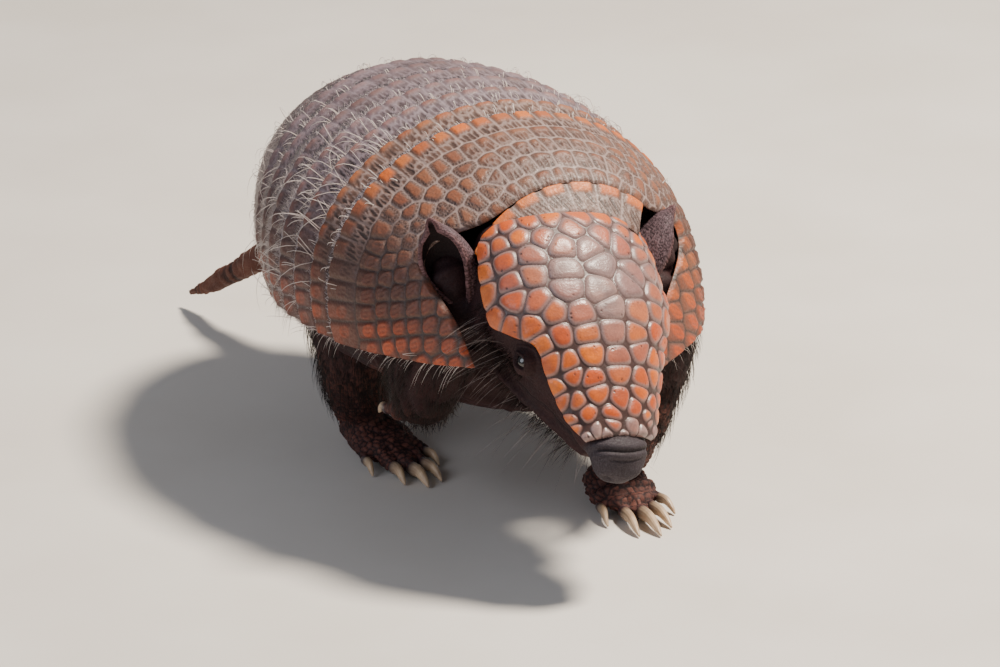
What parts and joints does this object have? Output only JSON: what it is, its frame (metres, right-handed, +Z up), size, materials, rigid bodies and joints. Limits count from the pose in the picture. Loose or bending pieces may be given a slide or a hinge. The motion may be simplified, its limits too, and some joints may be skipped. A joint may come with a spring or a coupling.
{
  "type": "armadillo model",
  "caption": "Life-size standing six-banded armadillo: domed plated back with hinged bands, wide plated head held low, clawed feet, one forefoot lifted, short tail.",
  "frame": {"origin": "on the floor under the middle of the animal's bounding box", "axes": "+Z up, the animal faces -Y, its left side is +X"},
  "size_m": [0.1902, 0.4276, 0.183],
  "materials": {
    "head_armour": "horny plates with a dull sheen, orange at the sides and snout, grey brown on the crown",
    "body_armour": "horny rectangular plates, grey brown with ochre and orange ends",
    "skin": "bare wrinkled skin, dark purple brown, reddish on the feet",
    "tail_skin": "ringed scaly skin, brown",
    "ear_skin": "fine granular skin, brown mauve outside and dark inside",
    "nose_skin": "smooth moist skin, slate grey",
    "claw_horn": "horn, beige with dark bases, half matt",
    "eye_glass": "dark glossy eyes"
  },
  "bodies": {
    "root": {"head_shield": "head_armour", "nape_band": "head_armour", "shoulder_shield": "body_armour", "band_1": "body_armour", "band_2": "body_armour", "band_3": "body_armour", "band_4": "body_armour", "band_5": "body_armour", "band_6": "body_armour", "pelvic_shield": "body_armour", "trunk": "skin", "neck": "skin", "head": "skin", "lower_jaw": "skin", "leg_front_left": "skin", "leg_front_right": "skin", "leg_hind_left": "skin", "leg_hind_right": "skin", "foot_front_left": "skin", "foot_front_right": "skin", "foot_hind_left": "skin", "foot_hind_right": "skin", "tail": "tail_skin", "ear_left": "ear_skin", "ear_right": "ear_skin", "nose": "nose_skin", "claw_front_left_1": "claw_horn", "claw_front_left_2": "claw_horn", "claw_front_left_3": "claw_horn", "claw_front_left_4": "claw_horn", "claw_front_left_5": "claw_horn", "claw_front_right_1": "claw_horn", "claw_front_right_2": "claw_horn", "claw_front_right_3": "claw_horn", "claw_front_right_4": "claw_horn", "claw_front_right_5": "claw_horn", "claw_hind_left_1": "claw_horn", "claw_hind_left_2": "claw_horn", "claw_hind_left_3": "claw_horn", "claw_hind_left_4": "claw_horn", "claw_hind_left_5": "claw_horn", "claw_hind_right_1": "claw_horn", "claw_hind_right_2": "claw_horn", "claw_hind_right_3": "claw_horn", "claw_hind_right_4": "claw_horn", "claw_hind_right_5": "claw_horn", "eye_left": "eye_glass", "eye_right": "eye_glass"}
  },
  "joints": []
}
